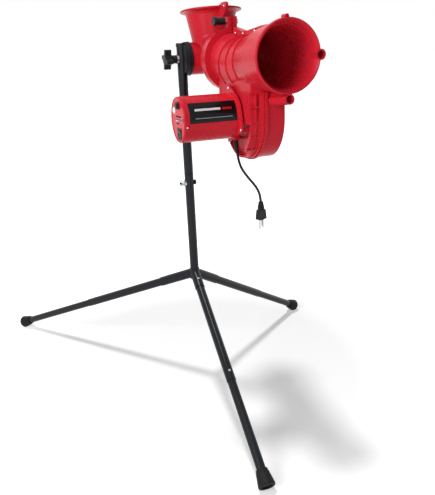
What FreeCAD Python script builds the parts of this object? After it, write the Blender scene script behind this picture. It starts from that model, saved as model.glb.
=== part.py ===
import FreeCAD, Part
import math
import os
import Sketcher
from types import SimpleNamespace
from FreeCAD import Placement, Rotation, Vector

# Ball pitching machine on a three-legged stand.
# Lengths are in millimetres.  +Z is up and balls leave towards -Y.
# The model is laid out about the mast, and machine_x and machine_y then move the
# whole of it, so that the origin lies on the floor under the middle of its box.

doc = FreeCAD.newDocument("PitchingMachine")

# ---------------------------------------------------------------- driving dimensions

DRIVING = {
    "machine_x": 18.75, "machine_y": -8.45,
    # stand
    "mast_od": 25.4, "mast_wall": 1.5, "mast_top": 981, "mast_seam": 635, "mast_foot": 322,
    "plug_depth": 60, "fit_gap": 0.15, "mast_bolt_z": 609, "hub_z": 335,
    "leg_od": 25.4, "leg_lower_od": 22.8, "leg_wall": 1.15, "sleeve_od": 28.6,
    "front_reach": 568, "right_reach": 541, "left_reach": 771,
    "foot_r": 21, "foot_len": 40, "foot_end_z": 16.5, "button_r": 3.2,
    # tilt clamp
    "pivot_z": 943, "disc_r": 43, "disc_face": 15, "stub_x": 20, "stub_r": 41, "stud_r": 4,
    # feeder: funnel, bend and collar; the leans are in degrees
    "barrel_x": 95, "barrel_z": 937, "wall": 3.2, "pipe_r": 57.5, "bend_y": 54.8, "bend_r": 66,
    "funnel_lean": 9.6, "funnel_top_r": 69.5, "rim_y": 20.8, "rim_z": 1063.3, "rim_r": 82.2,
    "rim_lean": 3.5, "collar_r": 76.5, "collar_back": 102, "collar_front": 128, "lip_r": 72.8,
    "neck_r": 62.5, "ear_top": 1038, "ear_y": 115, "clamp_z": 1028,
    # rotating head
    "barrel_end": 331, "spigot_end": 345, "spigot_r": 64, "bell_front": 421, "bell_r": 75.8,
    "bell_x": 97.5, "bell_z": 941.5, "drum_y": 233, "drum_z": 806.5, "axle_z": 812,
    "drum_r": 99.5, "step_r": 96.5, "drum_left": 50, "drum_right": 133, "chamber_r": 92,
    "wheel_r": 89, "wheel_half": 16,
    # motor pod
    "pod_r": 52.8, "pod_left": -93, "cap_depth": 13, "flange_right": 45, "flange_r": 58.5,
    "can_r": 38, "shaft_r": 5,
    # supply cord
    "cord_r": 3.2, "gland_x": 52, "gland_y": 237,
}

sheet = doc.addObject("Spreadsheet::Sheet", "Dims")
for row, (alias, number) in enumerate(DRIVING.items(), start=1):
    sheet.set(f"A{row}", alias)
    sheet.set(f"B{row}", str(number))
    sheet.setAlias(f"B{row}", alias)
doc.recompute()


class Size:
    """A length that knows its number and the sheet expression it comes from."""

    def __init__(self, number, text=None):
        self.number = float(number)
        self.text = text or f"({self.number!r})"

    def joined(self, sign, other, number):
        return Size(number, f"({self.text} {sign} {other.text})")

    def __add__(self, other):
        other = as_size(other)
        return self.joined("+", other, self.number + other.number)

    def __sub__(self, other):
        other = as_size(other)
        return self.joined("-", other, self.number - other.number)

    def __mul__(self, other):
        other = as_size(other)
        return self.joined("*", other, self.number * other.number)

    def __truediv__(self, other):
        other = as_size(other)
        return self.joined("/", other, self.number / other.number)

    def __radd__(self, other):
        return as_size(other) + self

    def __rsub__(self, other):
        return as_size(other) - self

    def __rmul__(self, other):
        return as_size(other) * self

    def __neg__(self):
        return as_size(0) - self

    def __float__(self):
        return self.number


def as_size(value):
    return value if isinstance(value, Size) else Size(value)


d = SimpleNamespace(**{name: Size(number, f"Dims.{name}") for name, number in DRIVING.items()})
nodes = {}

# ---------------------------------------------------------------- modelling helpers

LEFTWARD = Vector(-1, 0, 0)
RIGHTWARD = Vector(1, 0, 0)
FORWARD = Vector(0, -1, 0)
UPWARD = Vector(0, 0, 1)


def point(x, y, z):
    return Vector(float(x), float(y), float(z))


def along(base, direction):
    """A placement at base whose local Z axis points along direction."""
    return Placement(base, Rotation(UPWARD, direction))


def bind(obj, **sizes):
    for prop, value in sizes.items():
        obj.setExpression(prop, as_size(value).text)


def rod(name, radius, length, base, direction=UPWARD):
    obj = doc.addObject("Part::Cylinder", name)
    bind(obj, Radius=radius, Height=length)
    obj.Placement = along(base, direction)
    return obj


def cone(name, start_radius, end_radius, length, base, direction=UPWARD):
    obj = doc.addObject("Part::Cone", name)
    bind(obj, Radius1=start_radius, Radius2=end_radius, Height=length)
    obj.Placement = along(base, direction)
    return obj


def block(name, low, size):
    """A box from its low corner, with its edges along the axes."""
    obj = doc.addObject("Part::Box", name)
    bind(obj, Length=size[0], Width=size[1], Height=size[2])
    obj.Placement = Placement(point(*low), Rotation())
    return obj


def prism(name, sides, circumradius, length, base, direction):
    shape = doc.addObject("Part::Prism", name)
    shape.Polygon = sides
    bind(shape, Circumradius=circumradius, Height=length)
    shape.Placement = along(base, direction)
    return shape


def cut(name, base, *tools):
    result = base
    for index, tool in enumerate(tools):
        step = doc.addObject("Part::Cut", f"{name}_cut{index}")
        step.Base = result
        step.Tool = tool
        result = step
    return result


def fuse(name, *shapes):
    obj = doc.addObject("Part::MultiFuse", name)
    obj.Shapes = list(shapes)
    obj.Refine = True
    return obj


def common(name, first, second):
    obj = doc.addObject("Part::Common", name)
    obj.Base = first
    obj.Tool = second
    return obj


def sketch_outline(body, plane_role, corners):
    """A closed outline of straight lines whose corners are held by sheet expressions."""
    sketch = body.newObject("Sketcher::SketchObject", body.Name + "_outline")
    plane = [item for item in body.Origin.OriginFeatures if item.Role == plane_role][0]
    sketch.AttachmentSupport = [(plane, "")]
    sketch.MapMode = "FlatFace"
    places = [Vector(float(u), float(v), 0) for u, v in corners]
    for index, place in enumerate(places):
        following = places[(index + 1) % len(places)]
        sketch.addGeometry(Part.LineSegment(place, following), False)
    for index in range(len(places)):
        following = (index + 1) % len(places)
        sketch.addConstraint(Sketcher.Constraint("Coincident", index, 2, following, 1))
    for index, corner in enumerate(corners):
        for kind, axis_line, value in (("DistanceX", -2, corner[0]), ("DistanceY", -1, corner[1])):
            value = as_size(value)
            if abs(value.number) < 1e-9:
                sketch.addConstraint(Sketcher.Constraint("PointOnObject", index, 1, axis_line))
                continue
            held = Sketcher.Constraint(kind, -1, 1, index, 1, value.number)
            number = sketch.addConstraint(held)
            sketch.setExpression(f"Constraints[{number}]", value.text)
    return sketch


def turned(name, corners, base, direction=UPWARD):
    """A turned piece: corners are (radius, distance along direction) pairs."""
    body = doc.addObject("PartDesign::Body", name)
    sketch = sketch_outline(body, "XZ_Plane", corners)
    revolution = body.newObject("PartDesign::Revolution", name + "_turn")
    revolution.Profile = sketch
    revolution.ReferenceAxis = (sketch, ["V_Axis"])
    revolution.Angle = 360
    body.Placement = along(base, direction)
    return body


def plate(name, corners, thickness, base, rotation=Rotation()):
    """A flat piece padded from an outline in its own XY plane."""
    body = doc.addObject("PartDesign::Body", name)
    sketch = sketch_outline(body, "XY_Plane", corners)
    pad = body.newObject("PartDesign::Pad", name + "_pad")
    pad.Profile = sketch
    pad.setExpression("Length", as_size(thickness).text)
    body.Placement = Placement(base, rotation)
    return body


def node(label, obj):
    """Names a finished piece of the machine."""
    obj.Label = label
    nodes[label] = obj
    return obj


def tube(name, outer_radius, wall, length, base, direction=UPWARD):
    return turned(name, [(outer_radius - wall, 0), (outer_radius, 0),
                         (outer_radius, length), (outer_radius - wall, length)], base, direction)


def screw(name, base, direction, head_radius=3.6, head_height=2.4, shank_radius=1.9, length=14):
    """A pan-head screw: base lies under its head, and it is driven along direction."""
    return turned(name, [(0, -as_size(head_height)), (head_radius * 0.62, -as_size(head_height)),
                         (head_radius, -as_size(head_height) * 0.45), (head_radius, 0),
                         (shank_radius, 0), (shank_radius, length), (0, length)], base, direction)


def hex_nut(name, across_corners, height, bore_radius, base, direction):
    blank = prism(name + "_blank", 6, across_corners, height, base, direction)
    bore = rod(name + "_bore", bore_radius, height + 2, base - direction, direction)
    return cut(name, blank, bore)


# ---------------------------------------------------------------- stand: hub and legs
# Three telescopic legs plug into the sleeves of a welded hub, which also holds the mast.
# Every leg is locked twice, by a sprung button in the hub and one half way down.

mast_r = d.mast_od / 2
mast_bore_r = mast_r - d.mast_wall
leg_r = d.leg_od / 2
leg_inner_r = leg_r - d.leg_wall
lower_leg_r = d.leg_lower_od / 2
lower_leg_inner_r = lower_leg_r - d.leg_wall
sleeve_outer_r = d.sleeve_od / 2
sleeve_inner_r = leg_r + 0.1

HUB_START = 24
LEG_OVERLAP = 50
BUTTON_BEFORE_SEAM = 25
SLEEVE_PAST_BUTTON = 25
BUTTON_HEIGHT = 3.0

# azimuth in degrees, reach, seam and hub button distances, lean of the buttons in degrees
LEGS = {
    "front": (-93.7, d.front_reach, 376, 38, 0),
    "right": (28.8, d.right_reach, 369, 85, -60),
    "left": (131.3, d.left_reach, 466, 106, 45),
}


def snap_button(label, base, leg_direction, outward, outer_radius, inner_radius):
    """A locking button with its V spring, inside a tube of inner_radius."""
    shoulder = inner_radius - 1.4
    top = outer_radius + BUTTON_HEIGHT
    post = turned(label + "_post", [(0, shoulder - 1.2), (4.2, shoulder - 1.2), (4.2, shoulder),
                                    (d.button_r, shoulder), (d.button_r, top - 1.2),
                                    (d.button_r - 1.1, top), (0, top)], base, outward)
    sideways = leg_direction.cross(outward)
    tilt = Rotation(leg_direction, outward, sideways, "XYZ")
    low = 5.6 - inner_radius
    high = shoulder - 1.8
    spring = plate(label + "_spring", [(-5, high + 0.6), (4, high + 0.6), (27, 0.35), (27, -0.35),
                                       (-5, low - 0.6), (-5, low), (25.6, 0), (3.6, high),
                                       (-5, high)],
                   6, base - sideways * 3, tilt)
    return node(label, fuse(label + "_whole", post, spring))


leg_hub_shapes = [rod("hub_centre", mast_r + 1.5, 32, point(0, 0, d.hub_z - 19))]
leg_hub_bores = [rod("hub_mast_bore", mast_r + 0.1, 40, point(0, 0, d.mast_foot))]

for side, (azimuth, reach, seam, button_at, lean) in LEGS.items():
    drop = float(d.hub_z - d.foot_end_z)
    length = math.hypot(float(reach), drop)
    heading = math.radians(azimuth)
    down_leg = Vector(math.cos(heading) * float(reach), math.sin(heading) * float(reach), -drop)
    down_leg.normalize()
    top_side = UPWARD - down_leg * UPWARD.dot(down_leg)
    top_side.normalize()
    flank = down_leg.cross(top_side)
    outward = top_side * math.cos(math.radians(lean)) + flank * math.sin(math.radians(lean))
    hub = point(0, 0, d.hub_z)

    # hub sleeve with its button hole
    leg_hub_shapes.append(rod(side + "_sleeve", sleeve_outer_r, button_at + SLEEVE_PAST_BUTTON,
                              hub, down_leg))
    leg_hub_bores.append(rod(side + "_sleeve_bore", sleeve_inner_r, 200,
                             hub + down_leg * HUB_START, down_leg))
    leg_hub_bores.append(rod(side + "_sleeve_hole", d.button_r + 0.3, 30,
                             hub + down_leg * button_at, outward))

    # upper tube
    locks = [button_at, seam - BUTTON_BEFORE_SEAM]
    upper = tube(side + "_upper", leg_r, d.leg_wall, seam - HUB_START - 0.2,
                 hub + down_leg * (HUB_START + 0.2), down_leg)
    upper_holes = [rod(f"{side}_upper_hole{index}", d.button_r + 0.3, 30,
                       hub + down_leg * at, outward) for index, at in enumerate(locks)]
    node(f"{side}_leg_upper_tube", cut(side + "_upper_cut", upper, *upper_holes))

    # lower tube, which slides inside the upper one
    lower_start = seam - LEG_OVERLAP
    lower = tube(side + "_lower", lower_leg_r, d.leg_wall, length - 6 - lower_start,
                 hub + down_leg * lower_start, down_leg)
    lower_hole = rod(side + "_lower_hole", d.button_r + 0.3, 30, hub + down_leg * locks[1], outward)
    node(f"{side}_leg_lower_tube", cut(side + "_lower_cut", lower, lower_hole))

    # rubber foot, moulded over the end of the tube and cut flat where it stands
    foot_start = length - float(d.foot_len)
    foot = turned(side + "_foot", [(lower_leg_r + 0.05, 0), (lower_leg_r + 2.6, 0),
                                   (lower_leg_r + 3.4, 2), (lower_leg_r + 3.4, 5),
                                   (lower_leg_r + 4.6, 7), (d.foot_r, d.foot_len - 3),
                                   (d.foot_r - 1.2, d.foot_len), (13.5, d.foot_len),
                                   (13.5, d.foot_len - 3), (0, d.foot_len - 3),
                                   (0, d.foot_len - 6), (lower_leg_r + 0.05, d.foot_len - 6)],
                  hub + down_leg * foot_start, down_leg)
    floor = block(side + "_floor", (-1000, -1000, -60), (2000, 2000, 60))
    node(f"{side}_foot_cap", cut(side + "_foot_cut", foot, floor))

    snap_button(f"{side}_hub_button", hub + down_leg * button_at, down_leg, outward,
                sleeve_outer_r, leg_inner_r)
    snap_button(f"{side}_leg_button", hub + down_leg * locks[1], down_leg, outward,
                leg_r, lower_leg_inner_r)

node("leg_hub", cut("leg_hub_cut", fuse("leg_hub_weld", *leg_hub_shapes), *leg_hub_bores))

# ---------------------------------------------------------------- stand: mast
# The swaged end of the upper tube drops into the lower one and a bolt with a wing nut
# locks the two.  Above, a serrated disc clamps the feeder.

swage_r = mast_bore_r - d.fit_gap
swage_bottom = d.mast_seam - d.plug_depth
across_mast = rod("mast_bolt_hole", 3.3, 60, point(-30, 0, d.mast_bolt_z), RIGHTWARD)
across_upper = rod("mast_bolt_hole_upper", 3.3, 60, point(-30, 0, d.mast_bolt_z), RIGHTWARD)
pivot = point(0, 0, d.pivot_z)
pivot_hole = rod("pivot_hole", d.stud_r + 0.5, 60, pivot + LEFTWARD * 30, RIGHTWARD)

lower_mast = tube("lower_mast", mast_r, d.mast_wall, d.mast_seam - d.mast_foot,
                  point(0, 0, d.mast_foot))
node("lower_mast_tube", cut("lower_mast_cut", lower_mast, across_mast))

upper_mast = turned("upper_mast", [
    (swage_r - d.mast_wall, swage_bottom), (swage_r, swage_bottom),
    (swage_r, d.mast_seam - 0.1), (mast_r - 0.8, d.mast_seam + 0.2), (mast_r, d.mast_seam + 1),
    (mast_r, d.mast_top - 1), (mast_bore_r, d.mast_top - 1),
    (mast_bore_r, d.mast_seam + 4), (swage_r - d.mast_wall, d.mast_seam)], point(0, 0, 0))
node("upper_mast_tube", cut("upper_mast_cut", upper_mast, across_upper, pivot_hole))

node("mast_top_cap", turned("top_cap", [
    (0, d.mast_top - 0.9), (mast_r + 0.05, d.mast_top - 0.9), (mast_r + 0.05, d.mast_top - 8),
    (mast_r + 1.1, d.mast_top - 8), (mast_r + 1.1, d.mast_top + 0.6), (mast_r - 0.6, d.mast_top + 2),
    (0, d.mast_top + 2)], point(0, 0, 0)))

bolt_head = prism("mast_bolt_head", 6, 7.2, 6.5, point(mast_r + 0.1, 0, d.mast_bolt_z), RIGHTWARD)
bolt_shank = rod("mast_bolt_shank", 3, 41, point(mast_r + 0.1, 0, d.mast_bolt_z), LEFTWARD)
node("mast_bolt", fuse("mast_bolt_whole", bolt_head, bolt_shank))


def saddle_washer(name, radius, bore_radius, height):
    """A washer hollowed on one side to sit on the round mast."""
    washer = rod(name + "_disc", radius, 5, point(-15.2, 0, height), RIGHTWARD)
    mast = rod(name + "_mast", mast_r + 0.05, 60, point(0, 0, height - 30))
    bore = rod(name + "_bore", bore_radius, 30, point(-25, 0, height), RIGHTWARD)
    return cut(name, washer, mast, bore)


node("saddle_washers", fuse("washer_pair",
                            saddle_washer("mast_washer", 9.5, 3.3, d.mast_bolt_z),
                            saddle_washer("tilt_washer", 12, 4.5, d.pivot_z)))

nut_barrel = cone("wing_nut_barrel", 6.6, 5.2, 8.5, point(-15.5, 0, d.mast_bolt_z), LEFTWARD)
wings = plate("wing_nut_wings", [(2, -3), (4, -7.5), (11, -9.2), (12.6, -7.2), (9, -2.6),
                                 (9, 2.6), (12.6, 7.2), (11, 9.2), (4, 7.5), (2, 3)],
              3, point(-15.5, -1.5, d.mast_bolt_z),
              Rotation(LEFTWARD, UPWARD, Vector(0, 1, 0), "XYZ"))
nut_bore = rod("wing_nut_bore", 3.06, 30, point(-40, 0, d.mast_bolt_z), RIGHTWARD)
node("mast_wing_nut", cut("wing_nut_cut", fuse("wing_nut_whole", nut_barrel, wings), nut_bore))

inner_disc = turned("inner_disc", [
    (0, 0), (36, 0), (39, 1.5), (39, 5.5), (d.disc_r, 7), (d.disc_r, d.disc_face - 1.2),
    (d.disc_r - 1.2, d.disc_face), (0, d.disc_face)], pivot, RIGHTWARD)
disc_groove = rod("disc_groove", mast_r + 0.05, 120, pivot - UPWARD * 60)
cap_groove = rod("cap_groove", mast_r + 1.3, 40, point(0, 0, d.mast_top - 9))
disc_bore = rod("disc_bore", d.stud_r + 0.5, 60, pivot - RIGHTWARD * 5, RIGHTWARD)
node("inner_clamp_disc", cut("inner_disc_cut", inner_disc, disc_groove, cap_groove, disc_bore))

# ---------------------------------------------------------------- feeder
# Balls roll in at the funnel, which leans back a little, and round the bend to the barrel.
# It is moulded as two half shells, and carries the stub for the tilt clamp and the collar
# for the head.

lean = math.radians(float(d.funnel_lean))
funnel_up = Vector(0, math.sin(lean), math.cos(lean))
funnel_back = Vector(0, math.cos(lean), -math.sin(lean))
bend_centre = point(d.barrel_x, -d.bend_y, d.barrel_z + d.bend_r)
funnel_foot = bend_centre + funnel_back * float(d.bend_r)
rim_lean = math.radians(float(d.rim_lean))
rim_up = Vector(0, math.sin(rim_lean), math.cos(rim_lean))
rim_centre = point(d.barrel_x, d.rim_y, d.rim_z)
pipe_inner_r = d.pipe_r - d.wall - 0.3
barrel_start = point(d.barrel_x, 0, d.barrel_z)

# the lip of the head turns between these distances inside the collar
LIP_BACK = 105.3
LIP_FRONT = 118.7


def bend(name, tube_radius):
    """The curved length between the funnel and the barrel."""
    obj = doc.addObject("Part::Torus", name)
    bind(obj, Radius1=d.bend_r, Radius2=tube_radius, Angle3=90 - d.funnel_lean)
    obj.Placement = Placement(bend_centre, Rotation(funnel_back, funnel_up * -1, LEFTWARD, "XYZ"))
    return obj


def side_plate(name, corners, left, thickness):
    """A flat piece across the machine, from an outline of (y, z) corners."""
    return plate(name, corners, thickness, point(left, 0, 0),
                 Rotation(Vector(0, 1, 0), UPWARD, RIGHTWARD, "XYZ"))


def seam_boss(name, y, z, radius, half_width):
    """A screw boss across the joint of two half shells, with its hole."""
    left_end = point(d.barrel_x - half_width, y, z)
    boss = rod(name + "_boss", radius, 2 * half_width, left_end, RIGHTWARD)
    hole = rod(name + "_pilot", 1.95, 2 * half_width - 1.5, left_end, RIGHTWARD)
    return boss, hole


def seam_screw(name, y, z, half_width):
    return screw(name, point(d.barrel_x - half_width - 0.05, y, z), RIGHTWARD,
                 head_radius=3.0, head_height=1.9, length=2 * half_width - 2)


def halves(whole, labels):
    """Splits a moulding into its left and right half shells at the barrel axis."""
    left_box = block(labels[0] + "_box", (d.barrel_x - 400, -600, 600), (400, 900, 600))
    right_box = block(labels[1] + "_box", (d.barrel_x, -600, 600), (400, 900, 600))
    node(labels[0], common(labels[0] + "_half", whole, left_box))
    node(labels[1], common(labels[1] + "_half", whole, right_box))


FUNNEL_LENGTH = 80
funnel_outer = turned("funnel_outer", [
    (0, 0), (d.pipe_r, 0), (d.funnel_top_r, FUNNEL_LENGTH), (0, FUNNEL_LENGTH)],
    funnel_foot, funnel_up)
funnel_inner = turned("funnel_inner", [
    (0, 0), (pipe_inner_r, 0), (d.funnel_top_r - d.wall, FUNNEL_LENGTH),
    (d.funnel_top_r - d.wall, FUNNEL_LENGTH + 30), (0, FUNNEL_LENGTH + 30)],
    funnel_foot, funnel_up)
above_rim = rod("above_rim", 140, 60, rim_centre - rim_up * 2, rim_up)
funnel_wall = cut("funnel_wall", funnel_outer, above_rim)
rim_lip = turned("rim_lip", [
    (62, -14), (66.4, -14), (69.5, -9), (75, -5.8), (d.rim_r - 1.8, -5), (d.rim_r, -3.6),
    (d.rim_r, -1), (d.rim_r - 1, 0), (62, 0)], rim_centre, rim_up)
rim_inner = turned("rim_inner", [
    (0, -16), (63, -16), (66, -7.5), (72, -3), (79, -2.2), (79.6, 1), (0, 1)],
    rim_centre, rim_up)

STUB_LENGTH = 40
stub = rod("tilt_stub", d.stub_r, STUB_LENGTH, point(d.stub_x, 0, d.pivot_z), RIGHTWARD)
stub_taper = cone("tilt_stub_taper", d.stub_r, 26, 22,
                  point(d.stub_x + STUB_LENGTH, 0, d.pivot_z), RIGHTWARD)
pipe_start = point(d.barrel_x, -d.bend_y, d.barrel_z)
pipe_length = d.collar_back + 3 - d.bend_y
pipe_outer = rod("pipe_outer", d.pipe_r, pipe_length, pipe_start, FORWARD)
pipe_inner = rod("pipe_inner", pipe_inner_r, pipe_length + 1, pipe_start, FORWARD)

collar = turned("collar", [
    (d.pipe_r - 1, d.collar_back), (d.collar_r, d.collar_back), (d.collar_r, d.collar_front),
    (d.neck_r + 0.3, d.collar_front), (d.neck_r + 0.3, LIP_FRONT + 0.3),
    (d.lip_r + 0.3, LIP_FRONT + 0.3), (d.lip_r + 0.3, d.collar_back + 3),
    (d.pipe_r - 1, d.collar_back + 3)], barrel_start, FORWARD)
ear_bottom = d.barrel_z + d.lip_r + 1
ear_front = -d.ear_y - 12
EAR_LENGTH = 24
left_ear = block("left_ear", (84, ear_front, ear_bottom),
                 (9.5, EAR_LENGTH, d.ear_top - ear_bottom))
right_ear = block("right_ear", (97, ear_front, ear_bottom),
                  (11, EAR_LENGTH, d.ear_top - ear_bottom))
collar_slot = block("collar_slot", (93.5, -d.collar_front - 1, 1005), (3.5, EAR_LENGTH, 12))
ear_hole = rod("ear_hole", 3.3, 40, point(80, -d.ear_y, d.clamp_z), RIGHTWARD)

rim_front = side_plate("rim_front_fin", [
    (-40, 1068), (-62, 1072), (-70, 1074.5), (-90, 1074.5), (-98, 1072), (-99, 1066), (-84, 1046),
    (-70, 1036), (-46, 1030), (-40, 1036)], 91.7, 6.6)
rim_rear = side_plate("rim_rear_fin", [
    (80, 1040), (85, 1040), (104, 1048), (113, 1056), (114, 1062), (109, 1065), (96, 1064),
    (78, 1058)], 92, 6)

# seam screws of the feeder: (y, z), radius of the boss and half of its width
FEEDER_SEAMS = [(-86, 1065, 4.6, 3.6), (107.5, 1056, 4.6, 3.6), (35.4, 912.8, 6, 8),
                (-72, 876, 6, 8)]
feeder_solids = []
feeder_holes = []
feeder_screws = []
for index, (y, z, radius, half_width) in enumerate(FEEDER_SEAMS):
    boss, hole = seam_boss(f"feeder_seam{index}", y, z, radius, half_width)
    feeder_holes.append(hole)
    feeder_solids.append(boss)
    feeder_screws.append(seam_screw(f"feeder_screw{index}", y, z, half_width))

feeder_body = fuse("feeder_body", funnel_wall, rim_lip, bend("bend_outer", d.pipe_r), pipe_outer,
                   stub, stub_taper, collar, left_ear, right_ear, rim_front, rim_rear,
                   *feeder_solids)
STUD_SEAT = 4
stud_hole = rod("stud_hole", d.stud_r + 0.1, 60, point(d.stub_x - 1, 0, d.pivot_z), RIGHTWARD)
stud_pocket = rod("stud_pocket", 9.6, 22, point(d.stub_x + STUD_SEAT, 0, d.pivot_z), RIGHTWARD)
feeder_hollow = cut("feeder_hollow", feeder_body, funnel_inner, rim_inner,
                    bend("bend_inner", pipe_inner_r), pipe_inner, collar_slot, ear_hole, stud_hole,
                    stud_pocket, *feeder_holes)
halves(feeder_hollow, ("feeder_left_shell", "feeder_right_shell"))
node("feeder_screws", fuse("feeder_screw_set", *feeder_screws))

outer_face = d.disc_face + 0.3
node("outer_clamp_disc", turned("outer_disc", [
    (d.stud_r + 0.1, outer_face), (16, outer_face), (16, outer_face + 1.2),
    (30, outer_face + 1.2), (30, outer_face), (d.disc_r - 1.2, outer_face),
    (d.disc_r, outer_face + 1), (d.disc_r, d.stub_x - 1), (d.disc_r - 1.2, d.stub_x),
    (d.stud_r + 0.1, d.stub_x)], pivot, RIGHTWARD))

# coach bolt from inside the stub, through both discs and the mast, to the star knob
STUD_END = -42
stud_length = d.stub_x + STUD_SEAT + 0.1 - STUD_END
node("tilt_bolt", turned("tilt_stud", [
    (0, 0), (d.stud_r - 0.5, 0), (d.stud_r, 1), (d.stud_r, stud_length), (9, stud_length),
    (8.4, stud_length + 1.8), (5.5, stud_length + 3.4), (0, stud_length + 3.8)],
    point(STUD_END, 0, d.pivot_z), RIGHTWARD))

knob_neck = turned("tilt_knob_neck", [
    (0, 15.5), (10.5, 15.5), (10.5, 27), (13.5, 30), (13.5, 47), (11.5, 49), (0, 49)], pivot, LEFTWARD)
KNOB_TURN = -18
knob_arms = []
for quarter in range(4):
    lobe = plate(f"tilt_knob_arm{quarter}", [
        (0, -6.6), (11, -6.6), (16, -5.2), (22.5, -5.2), (25.1, -3.6), (26, 0), (25.1, 3.6),
        (22.5, 5.2), (16, 5.2), (11, 6.6), (0, 6.6)], 17, pivot + LEFTWARD * 31,
        Rotation(LEFTWARD, 90 * quarter + KNOB_TURN).multiply(
            Rotation(UPWARD, Vector(0, 1, 0), LEFTWARD, "XYZ")))
    knob_arms.append(lobe)
knob_bore = rod("tilt_knob_bore", d.stud_r + 0.06, 28, pivot + LEFTWARD * 14.5, LEFTWARD)
node("tilt_knob", cut("tilt_knob_cut", fuse("tilt_knob_whole", knob_neck, *knob_arms), knob_bore))

# collar clamp: a screw with a thimble knob draws the two ears together
clamp_start = point(0, -d.ear_y, d.clamp_z)
node("collar_bolt", turned("collar_screw", [
    (0, 62), (3, 62), (3, 80.2), (6, 80.2), (6, 83.9), (3, 83.9), (3, 115), (2.4, 115.6),
    (0, 115.6)], clamp_start, RIGHTWARD))
node("collar_knob", turned("collar_thimble", [
    (0, 50), (10, 50), (11, 51), (11, 57), (9.4, 58.2), (8.5, 59.5), (8.5, 78.5), (7.8, 79.9),
    (3.02, 79.9), (3.02, 61.9), (0, 61.9)], clamp_start, RIGHTWARD))
node("collar_nut", hex_nut("ear_nut", 6.9, 5.2, 3.06, point(108.1, -d.ear_y, d.clamp_z), RIGHTWARD))

# ---------------------------------------------------------------- head: barrel and drum
# The barrel turns in the collar.  The wheel runs in the drum below and reaches up through
# a slot in the floor of the barrel.  Both are moulded as two half shells.

axle = point(0, -d.drum_y, d.axle_z)
drum_middle = point(0, -d.drum_y, d.drum_z)


def loft(name, sections):
    """A solid with straight sides through circles given as (distance, x, z, radius)."""
    rings = []
    for index, (at, x, z, radius) in enumerate(sections):
        ring = doc.addObject("Part::Circle", f"{name}_ring{index}")
        bind(ring, Radius=radius)
        ring.Placement = along(point(x, -at, z), FORWARD)
        rings.append(ring)
    obj = doc.addObject("Part::Loft", name)
    obj.Sections = rings
    obj.Solid = True
    obj.Ruled = True
    return obj


# the waist of the barrel: (distance, height of its middle, radius) at each ridge
WAIST = [(184, 926, 61.7), (228, 928, 61.0), (266, 932.5, 59.3)]
NECK_END = 130
barrel_outer_rings = [(LIP_BACK, d.barrel_x, d.barrel_z, d.neck_r),
                      (NECK_END, d.barrel_x, d.barrel_z, d.neck_r)]
barrel_inner_rings = [(LIP_BACK - 1, d.barrel_x, d.barrel_z, d.neck_r - d.wall),
                      (NECK_END, d.barrel_x, d.barrel_z, d.neck_r - d.wall)]
for at, height, radius in WAIST:
    barrel_outer_rings.append((at, d.barrel_x, height, radius))
    barrel_inner_rings.append((at, d.barrel_x, height, radius - d.wall))
barrel_outer_rings.append((d.barrel_end, d.barrel_x, d.barrel_z, d.spigot_r + 3))
barrel_inner_rings.append((d.barrel_end, d.barrel_x, d.barrel_z, d.spigot_r - d.wall))
barrel_inner_rings.append((d.spigot_end + 1, d.barrel_x, d.barrel_z, d.spigot_r - d.wall))
barrel_outer = loft("barrel_outer", barrel_outer_rings)
barrel_keep = loft("barrel_keep", barrel_outer_rings)
barrel_inner = loft("barrel_inner", barrel_inner_rings)
head_solids = [barrel_outer,
               rod("barrel_lip", d.lip_r, LIP_FRONT - LIP_BACK, barrel_start + FORWARD * LIP_BACK,
                   FORWARD),
               rod("spigot", d.spigot_r, d.spigot_end - d.barrel_end + 1,
                   barrel_start + FORWARD * (float(d.barrel_end) - 1), FORWARD)]
for index, (at, height, radius) in enumerate(WAIST):
    head_solids.append(turned(f"barrel_ridge{index}", [
        (radius - 2.5, at - 6.4), (radius - 0.5, at - 6.4), (radius + 2.4, at - 0.6),
        (radius + 2.4, at), (radius - 2.5, at)], point(d.barrel_x, 0, height), FORWARD))
head_solids.append(side_plate("barrel_fin", [
    (-146, 985), (-146, 1010), (-149, 1012), (-202, 1000), (-233, 1001), (-277, 1004.6),
    (-298, 1006.6), (-330, 1008), (-330, 985)], 89, 12))

# the drum from the left: a wide step with a ladder of pockets, two raised ribs, a band
BAND_LEFT = 84
STEP_END = 89
SHELF_Z = 797
REAR_Y = 133.5


def drum_disc(name, left, right, radius, top):
    """A slice of the drum, round below its middle and straight above it at the front."""
    front = -d.drum_y - radius
    return [rod(name, radius, right - left, drum_middle + RIGHTWARD * left, RIGHTWARD),
            block(name + "_front", (left, front, d.drum_z), (right - left, 90, top - d.drum_z))]


head_solids += drum_disc("drum_band", BAND_LEFT, float(d.drum_right), d.drum_r, 866)
head_solids.append(block("drum_band_top", (BAND_LEFT, -d.drum_y - d.step_r, d.drum_z),
                         (d.drum_right - BAND_LEFT, d.drum_y + d.step_r - REAR_Y, 130)))
head_solids += drum_disc("drum_step", float(d.drum_left), STEP_END, d.step_r, 866)
head_solids.append(block("drum_step_top", (d.drum_left, -d.drum_y - d.step_r, d.drum_z),
                         (STEP_END - d.drum_left, 2 * d.step_r, 96)))
head_solids += drum_disc("left_rib", 76, 81.6, d.step_r + 4, 868)
head_solids += drum_disc("right_rib", 83, 89, d.step_r + 6.5, 868)

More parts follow.
